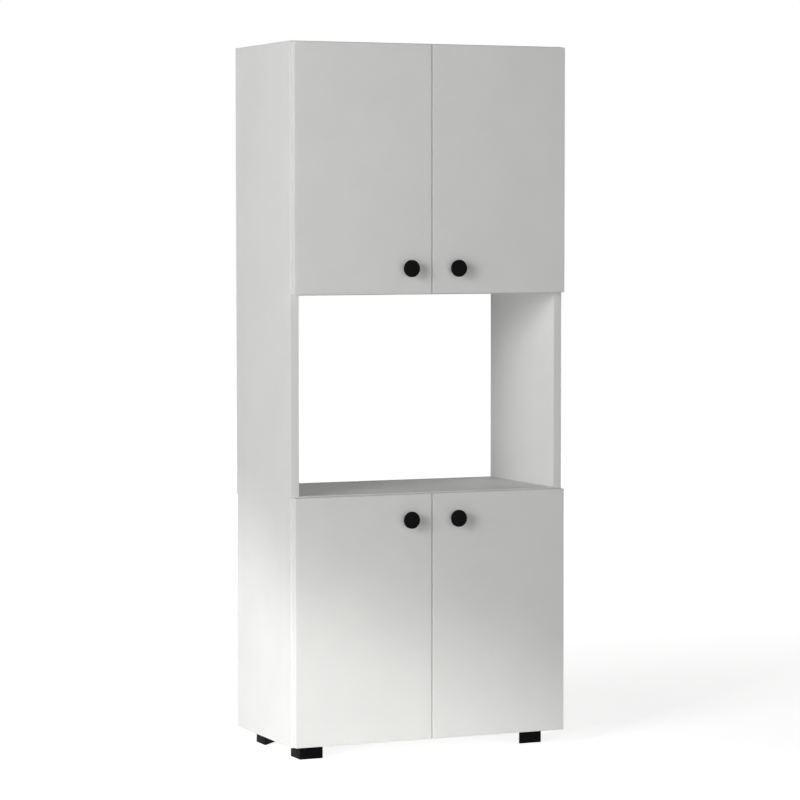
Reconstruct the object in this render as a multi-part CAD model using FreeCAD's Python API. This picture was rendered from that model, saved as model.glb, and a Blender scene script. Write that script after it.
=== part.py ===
import FreeCAD, Part
import math
import os
from FreeCAD import Vector

# Tall kitchen cabinet of laminated board: a cupboard below, an open niche for a microwave and a
# cupboard above, each cupboard with a pair of overlay doors on concealed cup hinges.
# Millimetres. X points right, -Y to the front, Z up. The origin is on the floor, under the middle
# of the cabinet's outline with its knobs.

# Cabinet
cabinet_width = 600.0
side_depth = 304.0
board = 18.0
foot_height = 30.0
lower_cupboard_height = 504.0     # over its bottom board and the niche's floor board
niche_height = 400.0              # clear height
upper_cupboard_height = 504.0     # over the niche's ceiling board and the top board
edge_round = 0.8                  # rounding of the edge banding
cut_overrun = 1.0                 # how far a through cut runs past the faces that it opens

# Doors
door_thickness = 18.0
door_gap = 1.0                    # between a closed door and the cabinet's front edges
door_end_reveal = 2.0             # board left free above and below each pair of doors
door_side_reveal = 2.5            # board left free at the cabinet's sides
door_centre_gap = 2.0
buffer_radius = 4.0
buffer_thickness = 0.7
buffer_from_centre = 24.0

# Knobs, on the door corner that is next to the niche and the other door
knob_radius = 17.25
knob_projection = 20.0
knob_rim = 6.5                    # thickness of the knob's disc
knob_rim_round = 1.6
knob_crown = 0.7                  # rise of the disc's face
knob_neck_radius = 7.0
knob_foot_radius = 9.0
knob_foot_height = 2.5
knob_from_edge = 51.0
knob_from_end = 51.0
knob_screw_radius = 1.95
knob_screw_depth = 10.0           # length of screw inside the knob
knob_screw_head_radius = 4.2
knob_screw_head = 2.4
screw_slack = 0.05                # between any screw's thread and its hole
knob_hole_slack = 0.3             # round the knob's screw in the door

# Back panels, in grooves behind each cupboard
back_thickness = 3.0
back_groove_depth = 6.0
back_groove_inset = 8.0           # board left behind the groove
back_slack = 0.3                  # in the groove's width and at its bottom

# Shelves
shelf_above_bottom = 225.0        # from the cupboard's lower board to the shelf's underside
shelf_front_setback = 22.0
shelf_end_slack = 0.7
shelf_back_slack = 1.0
shelf_pin_radius = 2.5
shelf_pin_in_side = 8.0
shelf_pin_reach = 9.0             # support under the shelf
shelf_pin_width = 9.0
shelf_pin_thickness = 2.0
shelf_pin_from_edge = 50.0        # from the shelf's front and back edges
shelf_hole_pitch = 32.0           # to the spare holes above and below
hole_slack = 0.05
hole_end_slack = 1.0              # between a peg's end and the bottom of its hole

# Joints between the boards: two dowels, two cam locks and two cam bolts at each end
cam_from_edge = 37.0              # from the board's front and back edges
dowel_from_edge = 69.0
dowel_radius = 4.0
dowel_chamfer = 0.8
dowel_in_side = 11.0
dowel_in_board = 19.0
cam_radius = 7.4
cam_height = 12.6
cam_from_end = 24.0
cam_below_face = 0.2
cam_slot = 7.4                    # width and height of the slot that takes the bolt's head
cam_drive_radius = 2.4
cam_drive_depth = 2.0
bolt_thread_radius = 2.5
bolt_in_side = 11.0
bolt_shank_radius = 3.0
bolt_neck_radius = 1.8
bolt_neck = 5.0
bolt_head_radius = 3.5
bolt_head = 3.0
bolt_bore_slack = 1.0
cover_radius = 8.5
cover_thickness = 0.9
cover_stub_radius = 2.2
cover_stub = 1.6

# Corner feet, triangular, with the right angle at the cabinet's corner
foot_leg = 52.0
foot_inset = 30.0                 # from the cabinet's side, front edge and back edge
foot_corner_round = 1.2
foot_screw_near = 9.0             # the two screws stand near and far along each leg
foot_screw_far = 28.0
foot_screw_floor = 10.0           # plastic between screw head and board
foot_screw_radius = 1.75
foot_screw_head_radius = 3.6
foot_screw_head = 2.6
foot_screw_in_board = 12.0
foot_screw_well_slack = 0.6

# Concealed hinges, two for each door. Places on a hinge are given from the cabinet's outer side
# plane (inwards) and from the cabinet's front edge (backwards), at the hinge's own height.
hinge_from_door_end = 100.0
cup_from_door_edge = 20.0         # to the cup's centre
cup_radius = 17.4
cup_wall = 0.8
cup_depth = 12.4
cup_bore_slack = 0.1
cup_flange = 0.7
cup_flange_radius = 19.5
cup_ear_offset = 6.0              # cup screws, from the cup's centre towards the door's middle
cup_ear_spread = 24.0             # and above and below it
cup_ear_radius = 5.5
cup_screw_radius = 1.75
cup_screw_head_radius = 3.4
cup_screw_head = 1.6
cup_screw_depth = 11.0
outer_arm_pivot = (30.0, 8.1)
outer_cup_pivot = (10.2, -5.7)
inner_arm_pivot = (34.9, 1.6)
inner_cup_pivot = (12.3, -9.8)
outer_link_bulge = 7.95           # swell of the curved links, away from the side panel
inner_link_bulge = 6.7
link_bar = 1.6                    # thickness of the links, seen from above
link_eye_wall = 1.2
inner_link_width = 5.0
outer_link_width = 2.0            # of each of its two bars
link_gap = 0.3                    # between links, arm flanges and cup cheeks
open_eye_centre = (35.6, 2.6)
open_eye_radius = 2.85            # leaves the arm's pin room to drift
open_eye_wall = 0.9
pin_radius = 1.25
pin_slack = 0.05
arm_sheet = 1.2
arm_nose_radius = 2.6
arm_underside = 23.5
arm_web_top = 39.6
arm_front = 9.0
arm_web_front = 9.0
arm_end = 72.0
arm_screw_radius = 2.4
arm_screw_back = 52.0             # from the cabinet's front edge
arm_screw_in_spine = 10.0
arm_screw_head_radius = 4.4
arm_screw_head = 2.6
arm_screw_drive_radius = 1.6
plate_from_front = 37.0
plate_screw_spread = 32.0
plate_screw_radius = 1.75
plate_screw_in_side = 12.0
plate_screw_head_radius = 3.6
plate_screw_head = 1.8
plate_wing = 3.0
plate_wing_depth = 16.0
plate_wing_height = 48.0
plate_wing_round = 5.0
plate_arm_slack = 0.1
spine_front = 18.0
spine_end_setback = 6.0
cup_cheek = 1.5

# Worked out from the sizes above
side_height = lower_cupboard_height + niche_height + upper_cupboard_height
side_bottom = foot_height
side_top = side_bottom + side_height
outer_half = cabinet_width / 2
inner_half = outer_half - board
knob_front = door_gap + door_thickness + knob_projection
front_y = (knob_front - side_depth) / 2
back_y = front_y + side_depth
niche_bottom = side_bottom + lower_cupboard_height
niche_top = niche_bottom + niche_height
groove_width = back_thickness + back_slack
groove_back = back_y - back_groove_inset
groove_front = groove_back - groove_width
door_back_y = front_y - door_gap
door_front_y = door_back_y - door_thickness
door_outer_x = outer_half - door_side_reveal
door_inner_x = door_centre_gap / 2
knob_x = door_inner_x + knob_from_edge
cup_centre = door_side_reveal + cup_from_door_edge

# name, underside and the face that carries the cam locks (1 up, -1 down) of each lying board
lying_boards = [
    ("bottom_panel", side_bottom, 1),
    ("niche_floor_panel", niche_bottom - board, -1),
    ("niche_ceiling_panel", niche_top, 1),
    ("top_panel", side_top - board, -1),
]

# name, lowest and highest clear height inside each cupboard
cupboards = [
    ("lower", side_bottom + board, niche_bottom - board),
    ("upper", niche_top + board, side_top - board),
]

# name, bottom and top of each pair of doors, and the knob's height
door_rows = [
    ("lower", side_bottom + door_end_reveal, niche_bottom - door_end_reveal,
     niche_bottom - door_end_reveal - knob_from_end),
    ("upper", niche_top + door_end_reveal, side_top - door_end_reveal,
     niche_top + door_end_reveal + knob_from_end),
]

RIGHT = Vector(1, 0, 0)
BACK = Vector(0, 1, 0)
UP = Vector(0, 0, 1)


def block(x_range, y_range, z_range):
    low = Vector(x_range[0], y_range[0], z_range[0])
    return Part.makeBox(x_range[1] - x_range[0], y_range[1] - y_range[0], z_range[1] - z_range[0], low)


def rod(radius, start, direction, length):
    return Part.makeCylinder(radius, length, start, direction)


def mirrored(shape):
    """The same piece on the cabinet's other side."""
    return shape.mirror(Vector(0, 0, 0), RIGHT)


def rim_at(shape, direction):
    """The circular edge that lies furthest in a direction."""
    circles = [edge for edge in shape.Edges if edge.Curve.TypeId == "Part::GeomCircle"]
    return [max(circles, key=lambda edge: edge.Curve.Center.dot(direction))]


def cut_all(shape, tools):
    return shape.cut(Part.makeCompound(tools)) if tools else shape


def fused(first, others):
    return first.fuse(others).removeSplitter()


def save(node, solids):
    """Writes one node, a single solid or a group of separate ones."""
    shape = solids[0] if len(solids) == 1 else Part.makeCompound(solids)
    shape.exportStep("parts/" + node + ".step")
    print(node, len(solids), "solids", "valid" if shape.isValid() else "NOT VALID", round(shape.Volume, 1))


def outline_solid(points, low, height):
    """An upright prism on a closed outline of straight lines."""
    wire = Part.makePolygon([Vector(x, y, low) for x, y in points + points[:1]])
    return Part.Face(wire).extrude(Vector(0, 0, height))


# Boards

def back_cupboard_grooves(x_range):
    """The slots that hold both back panels, over the given width."""
    grooves = []
    for name, low, high in cupboards:
        z_range = (low - back_groove_depth, high + back_groove_depth)
        grooves.append(block(x_range, (groove_front, groove_back), z_range))
    return grooves


def joint_rows(from_edge):
    """The two depths at which a joint's fittings stand."""
    return [front_y + from_edge, back_y - from_edge]


def shelf_front_y():
    return front_y + shelf_front_setback


def shelf_back_y():
    return groove_front - shelf_back_slack


def shelf_pin_rows():
    return [shelf_front_y() + shelf_pin_from_edge, shelf_back_y() - shelf_pin_from_edge]


def shelf_underside(cupboard_low):
    return cupboard_low + shelf_above_bottom


def side_panel_holes():
    """Every hole and groove on the inner face of the right side panel."""
    holes = back_cupboard_grooves((inner_half, inner_half + back_groove_depth))
    for name, low, cam_face in lying_boards:
        middle = low + board / 2
        for y in joint_rows(dowel_from_edge):
            depth = dowel_in_side + hole_end_slack
            holes.append(rod(dowel_radius + hole_slack, Vector(inner_half, y, middle), RIGHT, depth))
        for y in joint_rows(cam_from_edge):
            depth = bolt_in_side + hole_end_slack
            holes.append(rod(bolt_thread_radius + hole_slack, Vector(inner_half, y, middle), RIGHT, depth))
    for name, low, high in cupboards:
        for y in shelf_pin_rows():
            for step in (-1, 0, 1):
                z = shelf_underside(low) - shelf_pin_radius + step * shelf_hole_pitch
                depth = shelf_pin_in_side + hole_end_slack
                holes.append(rod(shelf_pin_radius + hole_slack, Vector(inner_half, y, z), RIGHT, depth))
    return holes


def side_panel():
    """The right side panel."""
    panel = block((inner_half, outer_half), (front_y, back_y), (side_bottom, side_top))
    panel = panel.makeFillet(edge_round, panel.Edges)
    holes = side_panel_holes()
    for z in hinge_heights():
        holes.extend(mirrored(hole) for hole in place_hinge(plate_screw_holes(), z))
    return cut_all(panel, holes)


def edges_along_x(shape):
    found = []
    for edge in shape.Edges:
        across = edge.BoundBox.YLength + edge.BoundBox.ZLength
        if across < edge_round / 10:
            found.append(edge)
    return found


def cam_top(low, cam_face):
    """Height of the face that the cam locks are let into."""
    return low + board if cam_face > 0 else low


def lying_board(low, cam_face):
    """A board between the side panels, with its cam pockets, end bores and groove."""
    shape = block((-inner_half, inner_half), (front_y, back_y), (low, low + board))
    shape = shape.makeFillet(edge_round, edges_along_x(shape))
    face = cam_top(low, cam_face)
    holes = []
    middle = low + board / 2
    pocket_depth = cam_height + cam_below_face + hole_slack
    for y in joint_rows(cam_from_edge):
        pocket = Vector(inner_half - cam_from_end, y, face)
        holes.append(rod(cam_radius + hole_slack, pocket, UP * -cam_face, pocket_depth))
        bore_radius = bolt_shank_radius + bolt_bore_slack
        holes.append(rod(bore_radius, Vector(inner_half, y, middle), RIGHT * -1, cam_from_end))
    for y in joint_rows(dowel_from_edge):
        depth = dowel_in_board + hole_end_slack
        holes.append(rod(dowel_radius + hole_slack, Vector(inner_half, y, middle), RIGHT * -1, depth))
    holes.extend([mirrored(hole) for hole in holes])
    groove_low = face - back_groove_depth
    holes.append(block((-inner_half, inner_half), (groove_front, groove_back),
                       (groove_low, groove_low + 2 * back_groove_depth)))
    if low == side_bottom:
        holes.extend(each_corner(foot_screw_board_holes()))
    return cut_all(shape, holes)


def back_panel(low, high):
    reach = back_groove_depth - back_slack
    half = inner_half + reach
    y_low = groove_front + back_slack / 2
    return block((-half, half), (y_low, y_low + back_thickness), (low - reach, high + reach))


def shelf(low):
    half = inner_half - shelf_end_slack
    under = shelf_underside(low)
    shape = block((-half, half), (shelf_front_y(), shelf_back_y()), (under, under + board))
    return shape.makeFillet(edge_round, shape.Edges)


def shelf_pin(y, under):
    """A peg in the right side panel with a flat support under the shelf."""
    peg_start = Vector(inner_half + shelf_pin_in_side, y, under - shelf_pin_radius)
    peg = rod(shelf_pin_radius, peg_start, RIGHT * -1, shelf_pin_in_side + shelf_pin_radius)
    half = shelf_pin_width / 2
    support = block((inner_half - shelf_pin_reach, inner_half - shelf_end_slack), (y - half, y + half),
                    (under - shelf_pin_thickness, under))
    return fused(peg, [support])


def shelf_pins():
    pins = []
    for name, low, high in cupboards:
        for y in shelf_pin_rows():
            pin = shelf_pin(y, shelf_underside(low))
            pins.extend([pin, mirrored(pin)])
    return pins


# Fittings that join the boards. Each is made at the right-hand end and mirrored.

def both_ends(make, from_edge):
    solids = []
    for name, low, cam_face in lying_boards:
        for y in joint_rows(from_edge):
            solid = make(y, low, cam_face)
            solids.extend([solid, mirrored(solid)])
    return solids


def dowel(y, low, cam_face):
    start = Vector(inner_half - dowel_in_board, y, low + board / 2)
    shape = rod(dowel_radius, start, RIGHT, dowel_in_board + dowel_in_side)
    return shape.makeChamfer(dowel_chamfer, rim_at(shape, RIGHT) + rim_at(shape, RIGHT * -1))


def cam_lock(y, low, cam_face):
    """A round housing with a slot for the bolt's head and a cross for the screwdriver."""
    centre_x = inner_half - cam_from_end
    face = cam_top(low, cam_face) - cam_face * cam_below_face
    down = UP * -cam_face
    shape = rod(cam_radius, Vector(centre_x, y, face), down, cam_height)
    middle = low + board / 2
    half = cam_slot / 2
    slot = block((centre_x - half, inner_half), (y - half, y + half), (middle - half, middle + half))
    drive = rod(cam_drive_radius, Vector(centre_x, y, face), down, cam_drive_depth)
    return shape.cut([slot, drive])


def cam_bolt(y, low, cam_face):
    """Thread in the side panel, shank in the board's end, neck and head in the cam."""
    middle = low + board / 2
    centre_x = inner_half - cam_from_end
    head_start = centre_x - bolt_head / 2
    neck_start = head_start + bolt_head
    shank_start = neck_start + bolt_neck
    head = rod(bolt_head_radius, Vector(head_start, y, middle), RIGHT, bolt_head)
    neck = rod(bolt_neck_radius, Vector(neck_start, y, middle), RIGHT, bolt_neck)
    shank = rod(bolt_shank_radius, Vector(shank_start, y, middle), RIGHT, inner_half - shank_start)
    thread = rod(bolt_thread_radius, Vector(inner_half, y, middle), RIGHT, bolt_in_side)
    return fused(head, [neck, shank, thread])


def cam_cover(y, low, cam_face):
    """A flat cap on the board, with a stub in the cam's cross."""
    face = cam_top(low, cam_face)
    centre = Vector(inner_half - cam_from_end, y, face)
    cap = rod(cover_radius, centre, UP * cam_face, cover_thickness)
    cap = cap.makeFillet(cover_thickness / 2, rim_at(cap, UP * cam_face))
    stub = rod(cover_stub_radius, centre, UP * -cam_face, cover_stub)
    return fused(cap, [stub])


# Feet, made at the front right corner and mirrored to the others

def foot_corner():
    """The foot's own corner, straight below the cabinet's corner but inset."""
    return outer_half - foot_inset, front_y + foot_inset


def foot_screw_places():
    corner_x, corner_y = foot_corner()
    near_far = (foot_screw_near, foot_screw_far)
    return [(corner_x - a, corner_y + b) for a, b in (near_far, near_far[::-1])]


def foot_screw_board_holes():
    depth = foot_screw_in_board + hole_end_slack
    radius = foot_screw_radius + screw_slack
    return [rod(radius, Vector(x, y, side_bottom), UP, depth) for x, y in foot_screw_places()]


def foot():
    corner_x, corner_y = foot_corner()
    points = [(corner_x, corner_y), (corner_x, corner_y + foot_leg), (corner_x - foot_leg, corner_y)]
    shape = outline_solid(points, 0, foot_height)
    upright = [edge for edge in shape.Edges if edge.BoundBox.ZLength > foot_height / 2]
    shape = shape.makeFillet(foot_corner_round, upright)
    holes = []
    well_radius = foot_screw_head_radius + foot_screw_well_slack
    for x, y in foot_screw_places():
        start = Vector(x, y, 0)
        holes.append(rod(well_radius, start, UP, foot_height - foot_screw_floor))
        holes.append(rod(foot_screw_radius + screw_slack, start, UP, foot_height))
    return cut_all(shape, holes)


def foot_screws():
    screws = []
    head_low = foot_height - foot_screw_floor - foot_screw_head
    for x, y in foot_screw_places():
        head = rod(foot_screw_head_radius, Vector(x, y, head_low), UP, foot_screw_head)
        length = foot_screw_head + foot_screw_floor + foot_screw_in_board
        screws.append(fused(head, [rod(foot_screw_radius, Vector(x, y, head_low), UP, length)]))
    return screws


def mirrored_to_back(shape):
    """The same piece at the other end of the side panels."""
    return shape.mirror(Vector(0, (front_y + back_y) / 2, 0), BACK)


def each_corner(shapes):
    front = shapes + [mirrored(shape) for shape in shapes]
    return front + [mirrored_to_back(shape) for shape in front]


def door_buffers():
    """Soft pads on the board edges, behind the free corners of the closed doors."""
    pads = []
    for name, low, cam_face in lying_boards:
        centre = Vector(buffer_from_centre, front_y, low + board / 2)
        pad = rod(buffer_radius, centre, BACK * -1, buffer_thickness)
        pads.extend([pad, mirrored(pad)])
    return pads


# Doors and knobs, made for the left door and mirrored

def door(low, high, knob_z):
    panel = block((-door_outer_x, -door_inner_x), (door_front_y, door_back_y), (low, high))
    panel = panel.makeFillet(edge_round, panel.Edges)
    screw = Vector(-knob_x, door_back_y, knob_z)
    holes = [rod(knob_screw_radius + knob_hole_slack, screw, BACK * -1, door_thickness)]
    for z in door_hinge_heights(low, high):
        holes.extend(place_hinge(door_hinge_holes(), z))
    return cut_all(panel, holes)


def knob(z):
    """A turned knob: foot, neck and a flat disc with a slightly raised face."""
    base = Vector(-knob_x, door_front_y, z)
    disc_back = knob_projection - knob_rim
    front = knob_projection - knob_crown
    flare = knob_foot_radius - knob_neck_radius
    foot_top = knob_foot_height + flare
    neck_top = disc_back - knob_rim_round

    def at(radius, height):
        return base + Vector(radius, -height, 0)

    def line(start, end):
        return Part.LineSegment(at(*start), at(*end)).toShape()

    def arc(start, middle, end):
        return Part.Arc(at(*start), at(*middle), at(*end)).toShape()

    slant = math.sqrt(0.5)
    rim = knob_rim_round
    edge_in = knob_radius - rim
    crown_radius = (edge_in ** 2 + knob_crown ** 2) / (2 * knob_crown)
    half_angle = math.asin(edge_in / crown_radius) / 2
    crown_middle = (crown_radius * math.sin(half_angle),
                    knob_projection - crown_radius * (1 - math.cos(half_angle)))
    outline = [
        line((0, 0), (knob_foot_radius, 0)),
        line((knob_foot_radius, 0), (knob_foot_radius, knob_foot_height)),
        arc((knob_foot_radius, knob_foot_height),
            (knob_foot_radius - flare * slant, foot_top - flare * slant),
            (knob_neck_radius, foot_top)),
        line((knob_neck_radius, foot_top), (knob_neck_radius, neck_top)),
        arc((knob_neck_radius, neck_top),
            (knob_neck_radius + rim * (1 - slant), disc_back - rim * (1 - slant)),
            (knob_neck_radius + rim, disc_back)),
        line((knob_neck_radius + rim, disc_back), (edge_in, disc_back)),
        arc((edge_in, disc_back), (edge_in + rim * slant, disc_back + rim * (1 - slant)),
            (knob_radius, disc_back + rim)),
        line((knob_radius, disc_back + rim), (knob_radius, front - rim)),
        arc((knob_radius, front - rim), (edge_in + rim * slant, front - rim * (1 - slant)),
            (edge_in, front)),
        arc((edge_in, front), crown_middle, (0, knob_projection)),
        line((0, knob_projection), (0, 0)),
    ]
    shape = Part.Face(Part.Wire(outline)).revolve(base, BACK, 360)
    bore = rod(knob_screw_radius + screw_slack, base, BACK * -1, knob_screw_depth + hole_end_slack)
    return shape.cut(bore)


def knob_screw(z):
    start = Vector(-knob_x, door_back_y, z)
    length = door_thickness + knob_screw_depth
    head = rod(knob_screw_head_radius, start, BACK, knob_screw_head)
    head = head.makeFillet(knob_screw_head / 2, rim_at(head, BACK))
    return fused(head, [rod(knob_screw_radius, start, BACK * -1, length)])


# Hinges, made on the left side and mirrored

def place_hinge(shapes, z):
    """Moves shapes from hinge coordinates to the cabinet's left side at height z."""
    placed = []
    for shape in shapes:
        copy = shape.copy()
        copy.translate(Vector(-outer_half, front_y, z))
        placed.append(copy)
    return placed


def door_hinge_heights(low, high):
    return [low + hinge_from_door_end, high - hinge_from_door_end]


def hinge_heights():
    heights = []
    for name, low, high, knob_z in door_rows:
        heights.extend(door_hinge_heights(low, high))
    return heights


def plan(point):
    return Vector(point[0], point[1], 0)


def upright_rod(radius, point, low, high):
    return rod(radius, Vector(point[0], point[1], low), UP, high - low)


def inward_rod(radius, start, length):
    """Along X, from the cabinet's side towards its middle."""
    return rod(radius, Vector(*start), RIGHT, length)


def curved_bar(start, end, bulge, low, high):
    """A bar on a parabola that swells by bulge to the left of the line from start to end."""
    chord = end - start
    left = Vector(-chord.y, chord.x, 0).normalize()
    peak = (start + end) / 2 + left * 2 * bulge

    def edge(shift):
        curve = Part.BezierCurve()
        curve.setPoles([point + left * shift + Vector(0, 0, low) for point in (start, peak, end)])
        return curve.toShape()

    outer = edge(link_bar / 2)
    inner = edge(-link_bar / 2)
    first = Part.LineSegment(inner.Vertexes[0].Point, outer.Vertexes[0].Point).toShape()
    last = Part.LineSegment(outer.Vertexes[-1].Point, inner.Vertexes[-1].Point).toShape()
    return Part.Face(Part.Wire([first, outer, last, inner])).extrude(Vector(0, 0, high - low))


def link(start, end, bulge, low, high):
    """A curved link with an eye at each end, given as its centre, its bore's radius and its wall."""
    bar = curved_bar(plan(start[0]), plan(end[0]), bulge, low, high)
    eyes = [upright_rod(bore + wall, centre, low, high) for centre, bore, wall in (start, end)]
    bores = [upright_rod(bore, centre, low, high) for centre, bore, wall in (start, end)]
    return cut_all(fused(bar, eyes), bores)


def snug_eye(centre):
    return centre, pin_radius + pin_slack, link_eye_wall


def outer_links():
    """Two bars, one on each side of the inner link."""
    low = inner_link_width / 2 + link_gap
    high = low + outer_link_width
    upper = link(snug_eye(outer_arm_pivot), snug_eye(outer_cup_pivot), outer_link_bulge, low, high)
    return [upper, upper.mirror(Vector(0, 0, 0), UP)]


def inner_link():
    """The link between the bars. Its eye on the arm is the open one, wide enough for the pin's drift."""
    half = inner_link_width / 2
    open_eye = (open_eye_centre, open_eye_radius, open_eye_wall)
    return [link(open_eye, snug_eye(inner_cup_pivot), inner_link_bulge, -half, half)]


def cheek_low():
    """Where the arm's flanges and the cup's cheeks start, outside the links."""
    return inner_link_width / 2 + link_gap + outer_link_width + link_gap


def hinge_arm():
    """A channel of pressed steel, open to the side panel, with a nose that carries both arm pivots."""
    low = cheek_low()
    high = low + arm_sheet
    nose_start = plan(outer_arm_pivot)
    nose_end = plan(inner_arm_pivot)
    along = (nose_end - nose_start).normalize()
    across = Vector(-along.y, along.x, 0) * arm_nose_radius
    tail = [(arm_underside, arm_front), (arm_web_top, arm_front),
            (arm_web_top, arm_end), (arm_underside, arm_end)]
    nose = [nose_start + across, nose_end + across, nose_end - across, nose_start - across]
    flange = outline_solid([(point.x, point.y) for point in nose], low, arm_sheet)
    discs = [upright_rod(arm_nose_radius, pivot, low, high) for pivot in (outer_arm_pivot, inner_arm_pivot)]
    flange = flange.fuse(discs + [outline_solid(tail, low, arm_sheet)])
    other = flange.mirror(Vector(0, 0, 0), UP)
    web = block((arm_web_top - arm_sheet, arm_web_top), (arm_web_front, arm_end), (-high, high))
    arm = fused(flange, [other, web])
    bore = pin_radius + pin_slack
    bore_end = high + cut_overrun
    bores = [upright_rod(bore, pivot, -bore_end, bore_end) for pivot in (outer_arm_pivot, inner_arm_pivot)]
    screw = (arm_web_top - arm_sheet - cut_overrun, arm_screw_back, 0)
    bores.append(inward_rod(arm_screw_radius + hole_slack, screw, arm_sheet + 2 * cut_overrun))
    return [cut_all(arm, bores)]


def arm_pins():
    """The outer links turn on two stubs, which leave the middle free for the inner link."""
    low = inner_link_width / 2 + link_gap
    high = cheek_low() + arm_sheet
    return [
        upright_rod(pin_radius, outer_arm_pivot, low, high),
        upright_rod(pin_radius, outer_arm_pivot, -high, -low),
        upright_rod(pin_radius, inner_arm_pivot, -high, high),
    ]


def cup_pins():
    low = inner_link_width / 2 + link_gap
    high = cheek_low() + cup_cheek
    return [
        upright_rod(pin_radius, outer_cup_pivot, low, high),
        upright_rod(pin_radius, outer_cup_pivot, -high, -low),
        upright_rod(pin_radius, inner_cup_pivot, -high, high),
    ]


def plate_screw_places():
    return [(plate_from_front, -plate_screw_spread / 2), (plate_from_front, plate_screw_spread / 2)]


def plate_screw_holes():
    """Pilot holes in the side panel."""
    depth = plate_screw_in_side + hole_end_slack
    radius = plate_screw_radius + screw_slack
    return [inward_rod(radius, (board - depth, v, w), depth) for v, w in plate_screw_places()]


def hinge_plate():
    """A wing on the side panel and a spine that the arm sits over."""
    wing = block((board, board + plate_wing), (plate_from_front - plate_wing_depth / 2,
                 plate_from_front + plate_wing_depth / 2), (-plate_wing_height / 2, plate_wing_height / 2))
    corners = [edge for edge in wing.Edges if edge.BoundBox.XLength > plate_wing / 2]
    wing = wing.makeFillet(plate_wing_round, corners)
    half = cheek_low() - link_gap
    spine_top = arm_web_top - arm_sheet - plate_arm_slack
    spine = block((board, spine_top), (spine_front, arm_end - spine_end_setback), (-half, half))
    holes = []
    for v, w in plate_screw_places():
        holes.append(inward_rod(plate_screw_radius + hole_slack, (board, v, w), plate_wing))
        sink = board + plate_wing - plate_screw_head
        holes.append(inward_rod(plate_screw_head_radius + hole_slack, (sink, v, w), plate_screw_head))
    screw_depth = arm_screw_in_spine + hole_end_slack
    thread = (spine_top - screw_depth, arm_screw_back, 0)
    holes.append(inward_rod(arm_screw_radius + screw_slack, thread, screw_depth))
    return [cut_all(fused(wing, [spine]), holes)]


def plate_screws():
    screws = []
    for v, w in plate_screw_places():
        sink = board + plate_wing - plate_screw_head
        length = sink - board + plate_screw_in_side
        shank = inward_rod(plate_screw_radius, (board - plate_screw_in_side, v, w), length)
        screws.append(fused(shank, [inward_rod(plate_screw_head_radius, (sink, v, w), plate_screw_head)]))
    return screws


def arm_screw():
    spine_top = arm_web_top - arm_sheet - plate_arm_slack
    start = (spine_top - arm_screw_in_spine, arm_screw_back, 0)
    shank = inward_rod(arm_screw_radius, start, arm_screw_in_spine + plate_arm_slack + arm_sheet)
    head = inward_rod(arm_screw_head_radius, (arm_web_top, arm_screw_back, 0), arm_screw_head)
    socket = (arm_web_top + arm_screw_head / 2, arm_screw_back, 0)
    driver = inward_rod(arm_screw_drive_radius, socket, arm_screw_head)
    return [cut_all(fused(shank, [head]), [driver])]


def cup_ears():
    ear_u = cup_centre + cup_ear_offset
    return [(ear_u, -cup_ear_spread), (ear_u, cup_ear_spread)]


def door_hinge_holes():
    """The cup's bore and the pilot holes of its screws, in the door's back."""
    bore_depth = cup_depth + cup_bore_slack
    bore = rod(cup_radius + cup_bore_slack, Vector(cup_centre, -door_gap, 0), BACK * -1, bore_depth)
    holes = [bore]
    for u, w in cup_ears():
        depth = cup_screw_depth + hole_end_slack
        holes.append(rod(cup_screw_radius + screw_slack, Vector(u, -door_gap, w), BACK * -1, depth))
    return holes


def cup_flange_plate():
    back = BACK * cup_flange
    disc = Part.Face(Part.Wire(Part.makeCircle(cup_flange_radius, Vector(cup_centre, -door_gap, 0), BACK)))
    plate = disc.extrude(back)
    ear_u = cup_centre + cup_ear_offset
    strip = block((ear_u - cup_ear_radius, ear_u + cup_ear_radius), (-door_gap, -door_gap + cup_flange),
                  (-cup_ear_spread, cup_ear_spread))
    ends = [rod(cup_ear_radius, Vector(u, -door_gap, w), BACK, cup_flange) for u, w in cup_ears()]
    return plate.fuse([strip] + ends)


def hinge_cup():
    """Pressed cup with a flange on the door's back and two cheeks inside that hold its pins."""
    top = -door_gap + cup_flange
    bottom = -door_gap - cup_depth
    shell = rod(cup_radius, Vector(cup_centre, bottom, 0), BACK, cup_depth)
    hollow_radius = cup_radius - cup_wall
    hollow = rod(hollow_radius, Vector(cup_centre, bottom + cup_wall, 0), BACK, cup_depth + cup_flange)
    cup = shell.fuse(cup_flange_plate()).cut(hollow)
    low = cheek_low()
    cheek_right = inner_cup_pivot[0] + link_eye_radius() + cup_cheek
    cheek_top = outer_cup_pivot[1] + link_eye_radius()
    cheek = block((cup_centre - cup_radius, cheek_right), (bottom, cheek_top), (low, low + cup_cheek))
    cheeks = [cheek.common(shell), cheek.mirror(Vector(0, 0, 0), UP).common(shell)]
    cup = fused(cup, cheeks)
    high = low + cup_cheek + cut_overrun
    pivots = (outer_cup_pivot, inner_cup_pivot)
    bores = [upright_rod(pin_radius + pin_slack, pivot, -high, high) for pivot in pivots]
    for u, w in cup_ears():
        bores.append(rod(cup_screw_radius + hole_slack, Vector(u, -door_gap, w), BACK, top + door_gap))
    return [cut_all(cup, bores)]


def link_eye_radius():
    return pin_radius + pin_slack + link_eye_wall


def cup_screws():
    """Flat-headed screws; the head lies on the cup's flange."""
    screws = []
    top = -door_gap + cup_flange
    for u, w in cup_ears():
        head = rod(cup_screw_head_radius, Vector(u, top, w), BACK, cup_screw_head)
        head = head.makeFillet(cup_screw_head / 2, rim_at(head, BACK))
        shank = rod(cup_screw_radius, Vector(u, top, w), BACK * -1, cup_flange + cup_screw_depth)
        screws.append(fused(head, [shank]))
    return screws


# Writing the nodes

def at_heights(make, heights):
    solids = []
    for z in heights:
        solids.extend(place_hinge(make(), z))
    return solids


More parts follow.
